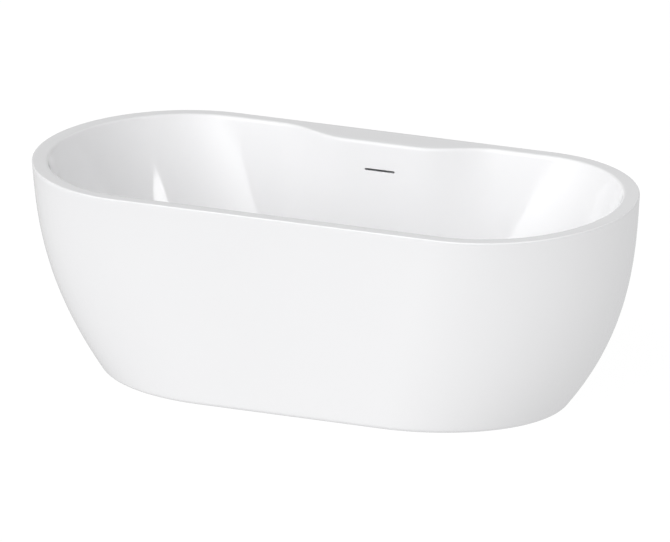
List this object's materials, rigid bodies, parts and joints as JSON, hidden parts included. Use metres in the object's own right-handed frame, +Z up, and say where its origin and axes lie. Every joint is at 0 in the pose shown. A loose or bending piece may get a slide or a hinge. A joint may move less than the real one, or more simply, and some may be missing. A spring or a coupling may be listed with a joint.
{
  "type": "freestanding bathtub",
  "caption": "Oval double-walled freestanding bathtub with a faucet deck, slot overflow, pop-up drain and levelling feet.",
  "frame": {"origin": "on the floor, under the middle of the bath", "axes": "+X along the bath's length, +Y towards the faucet deck, +Z up"},
  "size_m": [1.7, 0.85, 0.59],
  "materials": {
    "acrylic": "polished white sanitary acrylic",
    "laminate": "rough glass-fibre laminate",
    "plywood": "bare plywood",
    "frame_steel": "grey zinc-rich primer on square tube",
    "zinc_steel": "bright zinc plate",
    "spring_steel": "bare spring wire",
    "chrome": "polished chrome plate",
    "rubber": "matt black rubber",
    "black_plastic": "moulded black plastic",
    "grey_plastic": "flexible corrugated plastic"
  },
  "bodies": {
    "bath": {"base_board": "plywood", "basin_laminate": "laminate", "board_screw_1": "zinc_steel", "board_screw_2": "zinc_steel", "board_screw_3": "zinc_steel", "board_screw_4": "zinc_steel", "click_cartridge": "chrome", "click_spring": "spring_steel", "drain_flange": "chrome", "drain_shoe": "black_plastic", "flange_seal": "rubber", "floor_washer": "rubber", "foot_lock_nut_1": "zinc_steel", "foot_lock_nut_2": "zinc_steel", "foot_lock_nut_3": "zinc_steel", "foot_lock_nut_4": "zinc_steel", "foot_weld_nut_1": "zinc_steel", "foot_weld_nut_2": "zinc_steel", "foot_weld_nut_3": "zinc_steel", "foot_weld_nut_4": "zinc_steel", "frame_cross_left": "frame_steel", "frame_cross_right": "frame_steel", "frame_rail_back": "frame_steel", "frame_rail_front": "frame_steel", "hose_clip_bottom": "zinc_steel", "hose_clip_top": "zinc_steel", "inner_basin": "acrylic", "outer_skirt": "acrylic", "overflow_box": "grey_plastic", "overflow_gasket": "rubber", "overflow_hose": "grey_plastic", "skirt_bracket_1": "frame_steel", "skirt_bracket_2": "frame_steel", "skirt_bracket_3": "frame_steel", "skirt_bracket_4": "frame_steel", "skirt_screw_1": "zinc_steel", "skirt_screw_2": "zinc_steel", "skirt_screw_3": "zinc_steel", "skirt_screw_4": "zinc_steel", "slip_nut": "black_plastic", "slip_washer": "rubber", "tailpiece": "chrome"},
    "plug": {"drain_cap": "chrome", "cap_seal": "rubber", "cap_plunger": "chrome"},
    "glide_1": {"foot_pad_1": "black_plastic"},
    "rod_1": {"foot_rod_1": "zinc_steel"},
    "glide_2": {"foot_pad_2": "black_plastic"},
    "rod_2": {"foot_rod_2": "zinc_steel"},
    "glide_3": {"foot_pad_3": "black_plastic"},
    "rod_3": {"foot_rod_3": "zinc_steel"},
    "glide_4": {"foot_pad_4": "black_plastic"},
    "rod_4": {"foot_rod_4": "zinc_steel"}
  },
  "joints": [
    {"name": "plug_lift", "type": "slide", "parent": "bath", "child": "plug", "axis": [0, 0, 1], "range_m": [0, 0.01], "deforming": ["click_spring"]},
    {"name": "foot_1_height", "type": "slide", "parent": "bath", "child": "glide_1", "axis": [0, 0, -1], "range_m": [0, 0.015]},
    {"name": "foot_1_turn", "type": "hinge", "parent": "glide_1", "child": "rod_1", "pos_m": [0.421, 0.2085, 0.02], "axis": [0, 0, -1], "range_deg": [0, 3085.72]},
    {"name": "foot_2_height", "type": "slide", "parent": "bath", "child": "glide_2", "axis": [0, 0, -1], "range_m": [0, 0.015]},
    {"name": "foot_2_turn", "type": "hinge", "parent": "glide_2", "child": "rod_2", "pos_m": [0.421, -0.2085, 0.02], "axis": [0, 0, -1], "range_deg": [0, 3085.72]},
    {"name": "foot_3_height", "type": "slide", "parent": "bath", "child": "glide_3", "axis": [0, 0, -1], "range_m": [0, 0.015]},
    {"name": "foot_3_turn", "type": "hinge", "parent": "glide_3", "child": "rod_3", "pos_m": [-0.421, 0.2085, 0.02], "axis": [0, 0, -1], "range_deg": [0, 3085.72]},
    {"name": "foot_4_height", "type": "slide", "parent": "bath", "child": "glide_4", "axis": [0, 0, -1], "range_m": [0, 0.015]},
    {"name": "foot_4_turn", "type": "hinge", "parent": "glide_4", "child": "rod_4", "pos_m": [-0.421, -0.2085, 0.02], "axis": [0, 0, -1], "range_deg": [0, 3085.72]}
  ],
  "couplings": [
    {"joint": "foot_1_turn", "follows": "foot_1_height", "rad_per_m": 3590.4},
    {"joint": "foot_2_turn", "follows": "foot_2_height", "rad_per_m": 3590.4},
    {"joint": "foot_3_turn", "follows": "foot_3_height", "rad_per_m": 3590.4},
    {"joint": "foot_4_turn", "follows": "foot_4_height", "rad_per_m": 3590.4}
  ]
}
